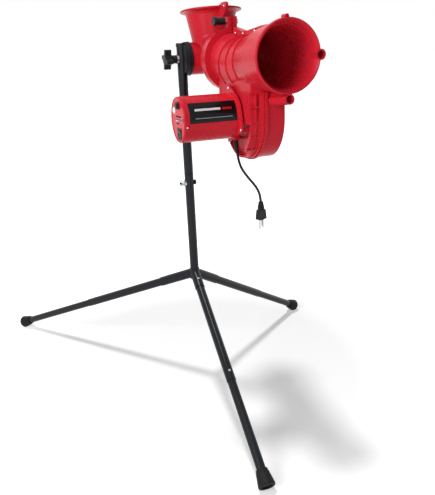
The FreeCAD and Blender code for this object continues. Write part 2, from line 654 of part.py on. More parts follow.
# below the shelf the left wall steps in, and inside its rim lies a deep recess
below_shelf = block("below_shelf", (40, -345, 690), (35, 240, SHELF_Z - 690))
rim_strip = cut("rim_strip", block("rim_strip_box", (40, -345, 735), (35, 75, SHELF_Z - 735)),
                rod("rim_strip_round", 88, 50, drum_middle + RIGHTWARD * 35, RIGHTWARD))
wall_step = common("wall_step", cut("wall_step_cut", below_shelf, rim_strip),
                   block("wall_step_box", (40, -345, 690), (22, 240, SHELF_Z - 690)))
recess = common("recess", rod("recess_round", 91.5, 11, drum_middle + RIGHTWARD * 61, RIGHTWARD),
                block("recess_box", (60, -345, 690), (20, 240, SHELF_Z - 690)))

# pockets of the ladder, between rungs whose middles lie at these heights
RUNGS = [867, 836, 802, 768.5, 736]
POCKET_COLUMNS = [(45, 61.3), (63.7, 71)]
pocket_boxes = []
for upper_rung, lower_rung in zip(RUNGS, RUNGS[1:]):
    for column, (left, right) in enumerate(POCKET_COLUMNS):
        pocket_boxes.append(block(f"pocket{upper_rung:.0f}_{column}", (left, -345, lower_rung + 1.5),
                                  (right - left, 55, upper_rung - lower_rung - 3)))
pocket_floor = fuse("pocket_floor",
                    rod("pocket_floor_round", 94, 50, drum_middle + RIGHTWARD * 35, RIGHTWARD),
                    block("pocket_floor_top", (35, -d.drum_y - 89.5, d.drum_z), (50, 60, 90)))
pockets = cut("pockets", fuse("pocket_set", *pocket_boxes), pocket_floor)

# the hollow of the drum keeps clear of the wall of the barrel
WEB_X = 75
BAND_HOLLOW = 83
chamber = fuse(
    "chamber",
    rod("chamber_band", d.drum_r - 3.5, d.drum_right - 3 - BAND_HOLLOW,
        drum_middle + RIGHTWARD * BAND_HOLLOW, RIGHTWARD),
    block("chamber_band_top", (BAND_HOLLOW, -326, d.drum_z), (d.drum_right - 3 - BAND_HOLLOW, 189, 126)),
    rod("chamber_step", d.chamber_r, BAND_HOLLOW - WEB_X, drum_middle + RIGHTWARD * WEB_X, RIGHTWARD),
    block("chamber_step_top", (WEB_X, -d.drum_y - d.chamber_r, d.drum_z),
          (BAND_HOLLOW - WEB_X, 2 * d.chamber_r, 90)),
    block("chamber_wall_top", (d.drum_left + 3, -d.drum_y - 86, SHELF_Z + 6),
          (WEB_X - d.drum_left - 3, 172, 90)))
chamber_clear = cut("chamber_clear", chamber, barrel_keep)
wheel_slot = block("wheel_slot", (d.barrel_x - d.wheel_half - 2, -d.drum_y - 73, 855),
                   (2 * d.wheel_half + 4, 146, 53))
shaft_hole = rod("shaft_hole", 13, 30, axle + RIGHTWARD * 48, RIGHTWARD)

# seam screws of the head: (y, z) and radius of a boss, along the barrel and behind the drum
HEAD_SEAMS = [(-165, 998, 5), (-211, 995, 5), (-277, 998, 5), (-135.6, 761, 8.5),
              (-150.7, 737.4, 8.5)]
head_bosses = []
head_holes = []
head_screws = []
for index, (y, z, radius) in enumerate(HEAD_SEAMS):
    boss, hole = seam_boss(f"head_seam{index}", y, z, radius, 8)
    head_bosses.append(boss)
    head_holes.append(hole)
    head_screws.append(seam_screw(f"head_screw{index}", y, z, 8))

# the motor's flange stands on these posts: (y, z), and the wall that each one stands on
POSTS = [(-224, 875, d.drum_left), (-292, 784, 72), (-213, 755, 72), (-172, 792, 72)]
post_holes = [rod(f"post_hole{index}", 2.1, 6, point(wall - 2, y, z), RIGHTWARD)
              for index, (y, z, wall) in enumerate(POSTS)]

head_hollow = cut("head_hollow", fuse("head_body", *head_solids, *head_bosses), wall_step, recess,
                  pockets, barrel_inner, chamber_clear, wheel_slot, shaft_hole, *head_holes,
                  *post_holes)
halves(head_hollow, ("head_left_shell", "head_right_shell"))

# ---------------------------------------------------------------- head: muzzle bell
# A flared bell is pressed over the end of the barrel.  Two plain sockets on it take
# accessories.

mouth = point(d.bell_x, -d.bell_front, d.bell_z)
BACKWARD = Vector(0, 1, 0)
RIM_DEPTH = 22
bell_outer = loft("bell_outer", [
    (d.barrel_end + 0.1, d.barrel_x, d.barrel_z, d.spigot_r + 3.2),
    (d.bell_front - 12, d.bell_x - 0.3, d.bell_z - 0.6, d.bell_r - 2.3)])
bell_inner = loft("bell_inner", [
    (d.spigot_end, d.barrel_x, d.barrel_z, d.spigot_r - 2.8),
    (d.bell_front - RIM_DEPTH + 2, d.bell_x - 0.9, d.bell_z - 1, 64.2),
    (d.bell_front - 8, d.bell_x, d.bell_z, 64.2)])
bell_spigot = rod("bell_spigot", d.spigot_r + 0.1, d.spigot_end - d.barrel_end + 0.5,
                  barrel_start + FORWARD * float(d.barrel_end), FORWARD)
# the rolled rim: (radius, depth behind the mouth)
RIM_FACE = [(64.2, RIM_DEPTH - 2), (66, 10), (69.5, 3.5), (71.8, 0.8)]
rim_ring = turned("bell_rim", [
    *RIM_FACE, (73.2, 0), (74.6, 0.6), (d.bell_r - 0.2, 2.5), (d.bell_r, 6), (d.bell_r - 0.4, 9.5),
    (d.bell_r - 1.8, 12), (72.5, RIM_DEPTH - 6), (66, RIM_DEPTH - 2)], mouth, BACKWARD)
rim_hollow = turned("bell_rim_hollow", [
    (0, RIM_DEPTH - 2), *RIM_FACE, (71.8, -1), (0, -1)], mouth, BACKWARD)
bell_wall = cut("bell_wall", fuse("bell_shell", bell_outer, rim_ring), bell_inner, bell_spigot,
                rim_hollow)

SOCKET_BACK = 342
SOCKET_R = 11.2
SOCKET_BORE = 8
SOCKET_DEPTH = 60
SOCKET_RISE = math.radians(5.6)
socket_length = d.bell_front - SOCKET_BACK
right_mouth = point(172.5, -d.bell_front, 942.5)
lower_mouth = point(99, -d.bell_front, 856.3)
lower_back = Vector(0, math.cos(SOCKET_RISE), -math.sin(SOCKET_RISE))
lug_mouth = point(93, -d.bell_front, 1018.5)
bell_whole = fuse("bell_whole", bell_wall,
                  rod("right_socket", SOCKET_R, socket_length, right_mouth, BACKWARD),
                  rod("lower_socket", SOCKET_R, socket_length, lower_mouth, lower_back),
                  block("right_web", (160.5, -d.bell_front + 9, 938.5), (5.5, 70, 8)),
                  block("lower_web", (95, -d.bell_front + 9, 856), (8, 70, 15)),
                  rod("top_lug", 4.8, 18, lug_mouth, BACKWARD))
bell_clear = loft("bell_clear", [
    (d.spigot_end, d.barrel_x, d.barrel_z, d.spigot_r - 2.8),
    (d.bell_front - RIM_DEPTH + 2, d.bell_x - 0.9, d.bell_z - 1, 64.2)])
socket_bores = [rod("right_bore", SOCKET_BORE, SOCKET_DEPTH + 1, right_mouth - BACKWARD, BACKWARD),
                rod("lower_bore", SOCKET_BORE, SOCKET_DEPTH + 1, lower_mouth - lower_back,
                    lower_back)]
lug_bore = rod("lug_bore", 1.8, 12, lug_mouth - BACKWARD, BACKWARD)
node("muzzle_bell", cut("bell_cut", bell_whole, bell_clear, lug_bore, *socket_bores))

# ---------------------------------------------------------------- head: motor pod
# The motor hangs on a flange that stands off the drum on four posts.  A tube and an end
# cap with the controls cover it.

FLANGE_THICK = 5
FLANGE_LUG_R = 7.5
flange_left = d.flange_right - FLANGE_THICK
pod_start = axle + RIGHTWARD * float(d.flange_right)
pod_seam = d.pod_left + d.cap_depth - 1
tube_length = flange_left - pod_seam
pod = turned("pod", [
    (d.pod_r - 3, -2), (d.pod_r, -2), (d.pod_r, tube_length - 0.8), (d.pod_r - 0.8, tube_length),
    (d.pod_r - 3, tube_length)], axle + RIGHTWARD * float(flange_left), LEFTWARD)
flange_disc = rod("flange_disc", d.flange_r, FLANGE_THICK, axle + RIGHTWARD * float(flange_left),
                  RIGHTWARD)


def flange_web(name, lug):
    """Fills between the flange and one of its lugs, along their common tangents."""
    inwards = axle + RIGHTWARD * float(flange_left) - lug
    apart = inwards.Length
    inwards.normalize()
    turn = math.acos((float(d.flange_r) - FLANGE_LUG_R) / apart)
    near = -FLANGE_LUG_R * math.cos(turn)
    far = apart - float(d.flange_r) * math.cos(turn)
    near_half = FLANGE_LUG_R * math.sin(turn)
    far_half = float(d.flange_r) * math.sin(turn)
    return plate(name, [(near, -near_half), (far, -far_half), (far, far_half), (near, near_half)],
                 FLANGE_THICK, lug, Rotation(inwards, RIGHTWARD.cross(inwards), RIGHTWARD, "XYZ"))


flange_lugs = []
flange_webs = []
flange_holes = []
posts = []
motor_screws = []
for index, (y, z, wall) in enumerate(POSTS):
    lug = point(flange_left, y, z)
    flange_webs.append(flange_web(f"flange_web{index}", lug))
    flange_lugs.append(rod(f"flange_lug{index}", FLANGE_LUG_R, FLANGE_THICK, lug, RIGHTWARD))
    flange_holes.append(rod(f"flange_hole{index}", 2.1, 9, lug + LEFTWARD * 2, RIGHTWARD))
    posts.append(tube(f"post{index}", 4.7, 2.6, wall - 0.05 - d.flange_right,
                      point(d.flange_right, y, z), RIGHTWARD))
    motor_screws.append(screw(f"motor_screw{index}", lug - RIGHTWARD * 0.05, RIGHTWARD,
                              length=wall + 3 - flange_left))
# the flange is cut off straight below, level with the tube
chord_out = Vector(0, -0.368, -0.930)
chord_along = chord_out.cross(RIGHTWARD)
flange_chord = block("flange_chord", (0, 0, 0), (10, 150, 40))
flange_chord.Placement = Placement(
    axle + RIGHTWARD * (float(flange_left) - 2) + chord_out * float(d.pod_r) - chord_along * 75,
    Rotation(RIGHTWARD, chord_along, chord_out, "XYZ"))
flange_plate = fuse("flange_plate", cut("flange_trim", fuse("flange_round", flange_disc, *flange_webs),
                                        flange_chord), *flange_lugs)

gland_lug = block("gland_lug", (d.flange_right - 2, -246, 755), (13.4, 18, 22))
CORD_SWING = Vector(0.94, -0.342, 0)
# the route hangs in one upright plane: (distance along the swing, height)
CORD_ROUTE = [(0.3, 730), (3.5, 697), (20, 667.5), (46, 636), (56.5, 611), (56.5, 584)]
route = [point(d.gland_x - 1, -d.gland_y, z) + CORD_SWING * s for s, z in CORD_ROUTE]
gland_down = (route[1] - route[0]).normalize()
RELIEF_ABOVE = 37
relief_start = route[0] - gland_down * RELIEF_ABOVE
gland_hole = rod("gland_hole", 4.7, 24, relief_start - gland_down * 5, gland_down)
cord_way = rod("cord_way", 4, 12, point(flange_left - 1, -d.gland_y, 767), RIGHTWARD)
motor_nose_hole = rod("motor_nose_hole", 18.2, 12, axle + RIGHTWARD * (float(flange_left) - 3),
                      RIGHTWARD)
pod_body = fuse("pod_body", pod, flange_plate, gland_lug)
node("motor_housing", cut("pod_cut", pod_body, motor_nose_hole, gland_hole, cord_way, *flange_holes))
node("motor_standoffs", fuse("standoff_set", *posts))
node("motor_screws", fuse("motor_screw_set", *motor_screws))

# (y, z) of the controls on the end cap
DIAL_PLACE = (-241, 845)
LAMP_PLACE = (-208, 832)
TOGGLE_PLACE = (-269, 815)
ROCKER_PLACE = (-240.5, 780.5)
ROCKER_SIDE = 27

cap_start = axle + RIGHTWARD * float(d.pod_left)
FACE_DEPTH = 1.5
cap = turned("cap", [
    (0, FACE_DEPTH), (d.pod_r - 5.6, FACE_DEPTH), (d.pod_r - 4.4, 0.3), (d.pod_r - 3.4, 0),
    (d.pod_r - 1.4, 0.7), (d.pod_r - 0.3, 2.2), (d.pod_r, 4.2), (d.pod_r, d.cap_depth - 1.8),
    (d.pod_r - 0.8, d.cap_depth - 1), (d.pod_r - 3.1, d.cap_depth - 1),
    (d.pod_r - 3.1, d.cap_depth + 2), (d.pod_r - 5.6, d.cap_depth + 2), (d.pod_r - 5.6, 6),
    (d.pod_r - 7, FACE_DEPTH + 3), (0, FACE_DEPTH + 3)], cap_start, RIGHTWARD)
face_x = float(d.pod_left) + FACE_DEPTH
rocker_low_y = ROCKER_PLACE[0] - ROCKER_SIDE / 2
rocker_low_z = ROCKER_PLACE[1] - ROCKER_SIDE / 2
cap_tools = [
    rod("dial_hole", 3.6, 8, point(face_x - 2, *DIAL_PLACE), RIGHTWARD),
    rod("lamp_hole", 3.1, 8, point(face_x - 2, *LAMP_PLACE), RIGHTWARD),
    rod("toggle_hole", 3.1, 8, point(face_x - 2, *TOGGLE_PLACE), RIGHTWARD),
    block("rocker_hole", (face_x - 2, rocker_low_y + 2, rocker_low_z + 2),
          (8, ROCKER_SIDE - 4, ROCKER_SIDE - 4))]
# air slots: (height, front end); all run back to the same line
VENTS = [(820, -259), (812, -248), (804, -240)]
VENT_BACK = -219
for index, (height, front) in enumerate(VENTS):
    cap_tools.append(block(f"vent{index}", (face_x - 2, front, height - 1.5),
                           (8, VENT_BACK - front, 3)))
CAP_SCREW_ANGLES = [75, 195, 315]
SEAT_DEPTH = 2.2
for index, angle in enumerate(CAP_SCREW_ANGLES):
    outwards = Vector(0, math.cos(math.radians(angle)), math.sin(math.radians(angle)))
    surface = axle + RIGHTWARD * (float(pod_seam) - 4.5) + outwards * float(d.pod_r)
    seat = surface - outwards * SEAT_DEPTH
    cap_tools.append(rod(f"cap_screw_seat{index}", 3.3, SEAT_DEPTH + 1, seat, outwards))
    cap_tools.append(rod(f"cap_screw_hole{index}", 1.95, 12, surface, outwards * -1))
    head_screws.append(screw(f"cap_screw{index}", seat, outwards * -1, head_radius=3.0,
                             head_height=1.7, length=5))
node("motor_end_cap", cut("cap_cut", cap, *cap_tools))
node("head_screws", fuse("head_screw_set", *head_screws))

PLATE_LEFT = -79.5
PLATE_RIGHT = 34.5
plate_ring = tube("plate_ring", d.pod_r + 0.5, 0.45, PLATE_RIGHT - PLATE_LEFT,
                  axle + RIGHTWARD * PLATE_RIGHT, LEFTWARD)
plate_window = block("plate_window", (PLATE_LEFT - 1, -310, 806.5), (PLATE_RIGHT - PLATE_LEFT + 2, 72, 44))
node("label_plate", common("label_sheet", plate_ring, plate_window))

# motor: can with its magnets, end bell and bearings; the rotor belongs to the wheel
magnet_r = d.can_r - 9
node("motor_can", turned("can", [
    (11.1, -4), (17.9, -4), (17.9, 5.3), (d.can_r, 5.3), (d.can_r, 95), (d.can_r - 2.4, 95),
    (d.can_r - 2.4, 80), (magnet_r, 80), (magnet_r, 20), (d.can_r - 2.4, 20),
    (d.can_r - 2.4, 10), (7, 10), (7, 4), (11.1, 4)], pod_start, LEFTWARD))
node("motor_end_bell", turned("end_bell", [
    (7, 103), (d.can_r, 103), (d.can_r, 95.1), (d.can_r - 2.5, 95.1), (d.can_r - 2.5, 92),
    (d.can_r - 5, 92), (d.can_r - 5, 98), (14, 98), (14, 91), (11.1, 91), (11.1, 100), (7, 100)],
    pod_start, LEFTWARD))
bearing_front = tube("bearing_front", 11, 11 - float(d.shaft_r) - 0.05, 7.5,
                     pod_start + LEFTWARD * -3.7, LEFTWARD)
bearing_rear = tube("bearing_rear", 11, 11 - float(d.shaft_r) - 0.05, 8,
                    pod_start + LEFTWARD * 91.5, LEFTWARD)
node("motor_bearings", fuse("bearing_pair", bearing_front, bearing_rear))
node("motor_rotor", turned("rotor", [
    (0, -69), (d.shaft_r - 0.6, -69), (d.shaft_r, -68.4), (d.shaft_r, 20), (28, 20), (28, 78),
    (12, 78), (12, 88), (d.shaft_r, 88), (d.shaft_r, 101.4), (d.shaft_r - 0.6, 102), (0, 102)],
    pod_start, LEFTWARD))

# ---------------------------------------------------------------- head: wheel
# A moulded hub on the motor shaft with a soft tyre.

wheel_centre = point(d.barrel_x, -d.drum_y, d.axle_z)
node("wheel_hub", turned("hub", [
    (d.shaft_r, -13), (13, -13), (13, -3), (64, -3), (66, -13), (74, -13), (74, 13), (66, 13),
    (64, 3), (13, 3), (13, 13), (d.shaft_r, 13)], wheel_centre, RIGHTWARD))
node("wheel_tyre", turned("tyre", [
    (74, -13), (76, -d.wheel_half), (d.wheel_r - 3, -d.wheel_half), (d.wheel_r - 0.6, -12),
    (d.wheel_r, -5), (d.wheel_r, 5), (d.wheel_r - 0.6, 12), (d.wheel_r - 3, d.wheel_half),
    (76, d.wheel_half), (74, 13)], wheel_centre, RIGHTWARD))

# ---------------------------------------------------------------- controls on the end cap

inner_face = face_x + 3
dial_base = point(face_x, *DIAL_PLACE)
node("speed_pot", turned("pot", [
    (0, -4.9), (3, -4.9), (3, 0), (3.5, 0), (3.5, 3.05), (8.5, 3.05), (8.5, 12), (0, 12)],
    dial_base, RIGHTWARD))
node("speed_dial", turned("dial", [
    (3.02, 0.3), (9, 0.3), (9, 2), (7.6, 2.7), (7, 6.4), (6.2, 7), (0, 7), (0, 5), (3.02, 5)],
    dial_base, LEFTWARD))
node("pilot_lamp", turned("lamp", [
    (0, -3.6), (4.4, -3.1), (7.2, -1.6), (8, -0.6), (8, -0.05), (3, -0.05), (3, 9), (0, 9)],
    point(face_x, *LAMP_PLACE), RIGHTWARD))

toggle_base = point(face_x, *TOGGLE_PLACE)
toggle_bush = turned("toggle_bush", [
    (0, 3.05), (3, 3.05), (3, -5), (2.5, -5), (2.5, 2), (0, 2)], toggle_base, RIGHTWARD)
toggle_box = block("toggle_box", (inner_face + 0.05, TOGGLE_PLACE[0] - 4.5, TOGGLE_PLACE[1] - 6.5),
                   (9, 13, 13))
node("toggle_switch", fuse("toggle_whole", toggle_bush, toggle_box))
node("toggle_nut", hex_nut("bush_nut", 5, 2, 3.02, toggle_base + LEFTWARD * 2.1, RIGHTWARD))
lever_arm = turned("lever_arm", [
    (0, -1.2), (1.3, -1.2), (1.3, 6), (1.8, 14), (1.5, 15.6), (0, 16)], toggle_base, LEFTWARD)
lever_pin = rod("lever_pin", 1, 4.6, toggle_base - BACKWARD * 2.3, BACKWARD)
node("toggle_lever", fuse("toggle_lever_whole", lever_arm, lever_pin))

# two corners of the rim are rounded off where they meet the raised edge of the cap
rocker_rim = common("rocker_rim", block("rocker_rim_plate", (face_x - 1.6, rocker_low_y, rocker_low_z),
                                        (1.55, ROCKER_SIDE, ROCKER_SIDE)),
                    rod("rocker_rim_limit", d.pod_r - 5.9, 6, axle + RIGHTWARD * (face_x - 3),
                        RIGHTWARD))
rocker_box = block("rocker_box", (face_x - 1.6, rocker_low_y + 2.1, rocker_low_z + 2.1),
                   (15, ROCKER_SIDE - 4.2, ROCKER_SIDE - 4.2))
rocker_well = block("rocker_well", (face_x - 3, rocker_low_y + 3.6, rocker_low_z + 3.6),
                    (13, ROCKER_SIDE - 7.2, ROCKER_SIDE - 7.2))
node("rocker_frame", cut("rocker_frame_cut", fuse("rocker_case", rocker_rim, rocker_box),
                         rocker_well))
ROCKER_THICK = 18.4
PIN_LENGTH = 19.5
rocker_paddle = plate("rocker_paddle", [
    (-8.1, -4.6), (8.1, -4.6), (9, -1), (9, 3), (8.4, 3.6), (0, 0.4), (-8.4, 1.4), (-9, 0.6),
    (-9, -1)], ROCKER_THICK, point(face_x, ROCKER_PLACE[0] + ROCKER_THICK / 2, ROCKER_PLACE[1]),
    Rotation(UPWARD, LEFTWARD, FORWARD, "XYZ"))
rocker_pin = rod("rocker_pin", 1.6, PIN_LENGTH,
                 point(face_x + 1, ROCKER_PLACE[0] - PIN_LENGTH / 2, ROCKER_PLACE[1]), BACKWARD)
node("rocker_button", fuse("rocker_button_whole", rocker_paddle, rocker_pin))

node("control_board", block("board", (-74, -262, 786), (1.6, 58, 46)))

# ---------------------------------------------------------------- supply cord
# A strain relief under the flange, the flexible cord with its plug hanging free.

RELIEF_LENGTH = 45
node("strain_relief", turned("relief", [
    (d.cord_r + 0.05, 0), (4.6, 0), (4.6, 13), (6.2, 13), (6.2, 16), (5.7, 17.5), (5.4, 32),
    (4.2, RELIEF_LENGTH), (d.cord_r + 0.05, RELIEF_LENGTH)], relief_start, gland_down))


def smooth_path(points):
    """Straight runs joined by tangent arcs; returns the edges, their length and radii."""
    edges = []
    radii = []
    start = points[0]
    for before, corner, after in zip(points, points[1:], points[2:]):
        towards = (before - corner).normalize()
        away = (after - corner).normalize()
        half_turn = (math.pi - towards.getAngle(away)) / 2
        tangent = 0.45 * min((before - corner).Length, (after - corner).Length)
        radius = tangent / math.tan(half_turn)
        middle = (towards + away).normalize()
        apex = corner + middle * (radius / math.cos(half_turn) - radius)
        entry = corner + towards * tangent
        leave = corner + away * tangent
        edges.append(Part.LineSegment(start, entry).toShape())
        edges.append(Part.Arc(entry, apex, leave).toShape())
        radii.append(radius)
        start = leave
    edges.append(Part.LineSegment(start, points[-1]).toShape())
    return edges, sum(edge.Length for edge in edges), radii


cord_edges, cord_length, cord_radii = smooth_path(route)
spine = doc.addObject("Part::Feature", "cord_spine")
spine.Shape = Part.Wire(cord_edges)
section = doc.addObject("Part::Circle", "cord_section")
bind(section, Radius=d.cord_r)
section.Placement = along(route[0], (route[1] - route[0]).normalize())
cord = doc.addObject("Part::Sweep", "cord_sweep")
cord.Sections = [section]
cord.Spine = (spine, [f"Edge{index}" for index in range(1, len(cord_edges) + 1)])
cord.Solid = True
cord.Frenet = False
node("power_cord", cord)

plug_top = route[-1] + UPWARD * 11
plug_shape = turned("plug_moulding", [
    (d.cord_r + 0.03, -11), (d.cord_r + 0.03, 3), (6.0, 3), (7.4, 0), (8.6, -6), (13.3, -16),
    (13.3, -34), (12.2, -43), (0, -43), (0, -11)], plug_top)
node("plug_body", plug_shape)
BLADES_APART = Vector(0.867, 0.498, 0)
BLADES_BROAD = Vector(-0.498, 0.867, 0)
blade_low = -68
blades = []
for index, shift in enumerate((-6.35, 6.35)):
    centre = plug_top + BLADES_APART * shift + UPWARD * blade_low
    blades.append(plate(f"blade{index}", [(-3.2, 2), (-2, 0), (2, 0), (3.2, 2), (3.2, 24.9),
                                          (-3.2, 24.9)], 1.5, centre - BLADES_APART * 0.75,
                        Rotation(BLADES_BROAD, UPWARD, BLADES_APART, "XYZ")))
pin = turned("earth_pin", [(0, -64), (1.4, -64), (2.4, -61), (2.4, -43.1), (0, -43.1)],
             plug_top + BLADES_BROAD * 6)
node("plug_blades", fuse("blade_set", *blades, pin))

# ---------------------------------------------------------------- check, place and write

doc.recompute()
shift = point(d.machine_x, d.machine_y, 0)
problems = []
for label, obj in nodes.items():
    obj.Placement = Placement(shift, Rotation()).multiply(obj.Placement)
doc.recompute()
for obj in doc.Objects:
    if {"Invalid", "Error"} & set(obj.State):
        problems.append(f"{obj.Label}: {obj.State}")
for label, obj in nodes.items():
    if obj.Shape.isNull() or not obj.Shape.isValid() or not obj.Shape.Solids:
        problems.append(f"{label}: bad shape")
if problems:
    raise RuntimeError("; ".join(problems))

os.makedirs("parts", exist_ok=True)
machine_box = FreeCAD.BoundBox()
for label, obj in nodes.items():
    obj.Shape.exportStep(f"parts/{label}.step")
    box = obj.Shape.BoundBox
    if label not in ("power_cord", "plug_body", "plug_blades"):
        machine_box.add(box)
    print(f"{label:24s} solids {len(obj.Shape.Solids)} volume {obj.Shape.Volume / 1000:9.2f} cm3  "
          f"x {box.XMin:8.1f} {box.XMax:8.1f}  y {box.YMin:8.1f} {box.YMax:8.1f}  "
          f"z {box.ZMin:8.1f} {box.ZMax:8.1f}")
print("nodes", len(nodes))
print("machine box", machine_box)
print("cord length", round(cord_length, 1), "radii", [round(radius, 1) for radius in cord_radii])
cord_volume = nodes["power_cord"].Shape.Volume
print("cord volume ratio", round(cord_volume / (math.pi * float(d.cord_r) ** 2 * cord_length), 4))
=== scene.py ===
import math
import bpy
from mathutils import Matrix, Vector


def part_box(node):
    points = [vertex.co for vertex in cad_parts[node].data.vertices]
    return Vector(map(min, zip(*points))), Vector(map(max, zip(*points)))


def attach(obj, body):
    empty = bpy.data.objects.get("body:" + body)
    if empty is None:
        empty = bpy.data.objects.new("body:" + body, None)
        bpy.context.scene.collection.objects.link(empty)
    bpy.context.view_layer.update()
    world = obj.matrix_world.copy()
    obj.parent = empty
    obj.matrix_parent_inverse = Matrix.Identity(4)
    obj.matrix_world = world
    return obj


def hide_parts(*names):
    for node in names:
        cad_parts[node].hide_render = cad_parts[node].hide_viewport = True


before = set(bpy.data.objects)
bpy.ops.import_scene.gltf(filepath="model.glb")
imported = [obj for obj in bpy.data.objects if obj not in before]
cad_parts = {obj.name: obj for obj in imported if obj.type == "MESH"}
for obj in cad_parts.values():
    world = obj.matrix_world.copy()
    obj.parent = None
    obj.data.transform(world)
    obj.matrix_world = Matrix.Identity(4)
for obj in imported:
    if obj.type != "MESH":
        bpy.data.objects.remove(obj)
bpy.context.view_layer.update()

# ------------------------------------------------------------ camera
# A short lens at head height, a step to the left of the machine's front, tipped down and
# rolled a little.  The view is wide enough to hold the machine from its feet to its rim.
eye = Vector((-0.45275, -1.50595, 0.9554))
heading, dip, roll = math.radians(-20.1), math.radians(19.2), math.radians(2.6)
camera_data = bpy.data.cameras.new("camera")
camera_data.lens = 40.68
camera_data.clip_start, camera_data.clip_end = 0.05, 60
camera = bpy.data.objects.new("camera", camera_data)
camera.matrix_world = (Matrix.Translation(eye) @ Matrix.Rotation(heading, 4, "Z")
                       @ Matrix.Rotation(math.pi / 2 - dip, 4, "X")
                       @ Matrix.Rotation(-roll, 4, "Z"))
bpy.context.scene.collection.objects.link(camera)
bpy.context.scene.camera = camera

# ------------------------------------------------------------ supply cord
# A short mains lead of round 6.4 mm cord in black vinyl.  It leaves the strain relief under
# the motor, swings out and hangs down to its moulded plug.


def linear(code):
    """An sRGB hex colour as the linear RGBA that Blender's sockets take."""
    parts = [int(code[i:i + 2], 16) / 255 for i in (1, 3, 5)]
    return [c / 12.92 if c <= 0.04045 else ((c + 0.055) / 1.055) ** 2.4 for c in parts] + [1.0]


def add_node(tree, kind, inputs, **settings):
    """Adds a shader node, sets it up, and fills its sockets with values or with links."""
    made = tree.nodes.new("ShaderNode" + kind)
    for name, value in settings.items():
        setattr(made, name, value)
    for name, value in inputs.items():
        if isinstance(value, bpy.types.NodeSocket):
            tree.links.new(value, made.inputs[name])
        else:
            made.inputs[name].default_value = value
    return made


def start_finish(name, **constants):
    """A new material with its shader's own sockets set.  It comes back with its node tree,
    its shader and the place on the piece that its patterns read."""
    material = bpy.data.materials.new(name)
    material.use_nodes = True
    tree = material.node_tree
    shader = tree.nodes["Principled BSDF"]
    for socket, value in constants.items():
        shader.inputs[socket.replace("_", " ")].default_value = value
    return material, tree, shader, add_node(tree, "TexCoord", {}).outputs["Object"]


def mottle(tree, shader, place, grain_mm, dark, light, low, high, bump_mm=0.0):
    """Lets colour, roughness and height wander together over grains of a real size."""
    noise = add_node(tree, "TexNoise", {"Vector": place, "Scale": 1000 / grain_mm, "Detail": 3.0,
                                        "Roughness": 0.55}).outputs["Fac"]
    tint = add_node(tree, "MixRGB", {"Fac": noise, "Color1": linear(dark), "Color2": linear(light)})
    tree.links.new(tint.outputs["Color"], shader.inputs["Base Color"])
    gloss = add_node(tree, "MapRange", {"Value": noise, "From Min": 0.3, "From Max": 0.7,
                                        "To Min": low, "To Max": high})
    tree.links.new(gloss.outputs["Result"], shader.inputs["Roughness"])
    if bump_mm:
        relief = add_node(tree, "Bump", {"Height": noise, "Strength": 0.5,
                                         "Distance": bump_mm / 1000})
        tree.links.new(relief.outputs["Normal"], shader.inputs["Normal"])
    return noise


def give(material, *names):
    """Puts a finish on CAD nodes whose shape is already right."""
    for name in names:
        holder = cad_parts[name]
        if not holder.data.materials:
            holder.data.materials.append(material)
        for slot in holder.material_slots:
            slot.material = material


# Flexible PVC, extruded: a soft sheen over a faint matt bloom of 3 mm patches.
vinyl, tree, shader, place = start_finish("extruded_black_pvc", IOR=1.53,
                                          Specular_IOR_Level=0.2)
mottle(tree, shader, place, 3.0, "#0d0d0f", "#16171a", 0.34, 0.5, 0.05)

CORD_POINTS = [(0.07003, -0.24555, 0.730), (0.07304, -0.24665, 0.697),
               (0.08854, -0.25229, 0.6675), (0.11299, -0.26118, 0.636),
               (0.12286, -0.26477, 0.611), (0.12286, -0.26477, 0.584)]
CORD_RADIUS = 0.0032
cord_line = bpy.data.curves.new("supply_cord", "CURVE")
cord_line.dimensions = "3D"
cord_line.bevel_depth = CORD_RADIUS
cord_line.bevel_resolution = 6
cord_line.resolution_u = 24
cord_line.use_fill_caps = True
cord_route = cord_line.splines.new("NURBS")
cord_route.points.add(len(CORD_POINTS) - 1)
for control, spot in zip(cord_route.points, CORD_POINTS):
    control.co = (*spot, 1.0)
cord_route.order_u = 3
cord_route.use_endpoint_u = True
cord = bpy.data.objects.new("supply_cord", cord_line)
bpy.context.scene.collection.objects.link(cord)
cord_line.materials.append(vinyl)
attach(cord, "head")
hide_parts("power_cord")

# ------------------------------------------------------------ mains plug
# A three pin plug moulded round the cord's end in soft black PVC: a ringed neck, and a body
# with a shallow grip on each flat side.  Its two blades and its earth pin are brass.


SIDES = 40
EDGE_ANGLE = math.radians(40)


def turned(name, rings, start, direction, material, body):
    """A turned piece: a disc is drawn out along its axis, ring by ring, each ring given as
    (distance, radius) in mm from a start point, and then set in its place."""
    bpy.ops.object.select_all(action="DESELECT")
    bpy.ops.mesh.primitive_circle_add(vertices=SIDES, radius=rings[0][1] / 1000,
                                      fill_type="NGON", location=(0, 0, rings[0][0] / 1000))
    piece = bpy.context.object
    piece.name = name
    bpy.ops.object.transform_apply(location=True, rotation=True, scale=True)
    bpy.ops.object.mode_set(mode="EDIT")
    bpy.ops.mesh.select_all(action="SELECT")
    for (at, radius), (next_at, next_radius) in zip(rings, rings[1:]):
        bpy.ops.mesh.extrude_region_move(
            TRANSFORM_OT_translate={"value": (0, 0, (next_at - at) / 1000)})
        grow = next_radius / radius
        bpy.ops.transform.resize(value=(grow, grow, 1), center_override=(0, 0, next_at / 1000))
    bpy.ops.mesh.select_all(action="SELECT")
    bpy.ops.mesh.normals_make_consistent(inside=False)
    bpy.ops.object.mode_set(mode="OBJECT")
    turn = Vector((0, 0, 1)).rotation_difference(Vector(direction).normalized())
    piece.matrix_world = Matrix.Translation(start) @ turn.to_matrix().to_4x4()
    bpy.ops.object.transform_apply(location=True, rotation=True, scale=True)
    bpy.ops.object.shade_smooth_by_angle(angle=EDGE_ANGLE)
    piece.data.materials.append(material)
    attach(piece, body)
    return piece


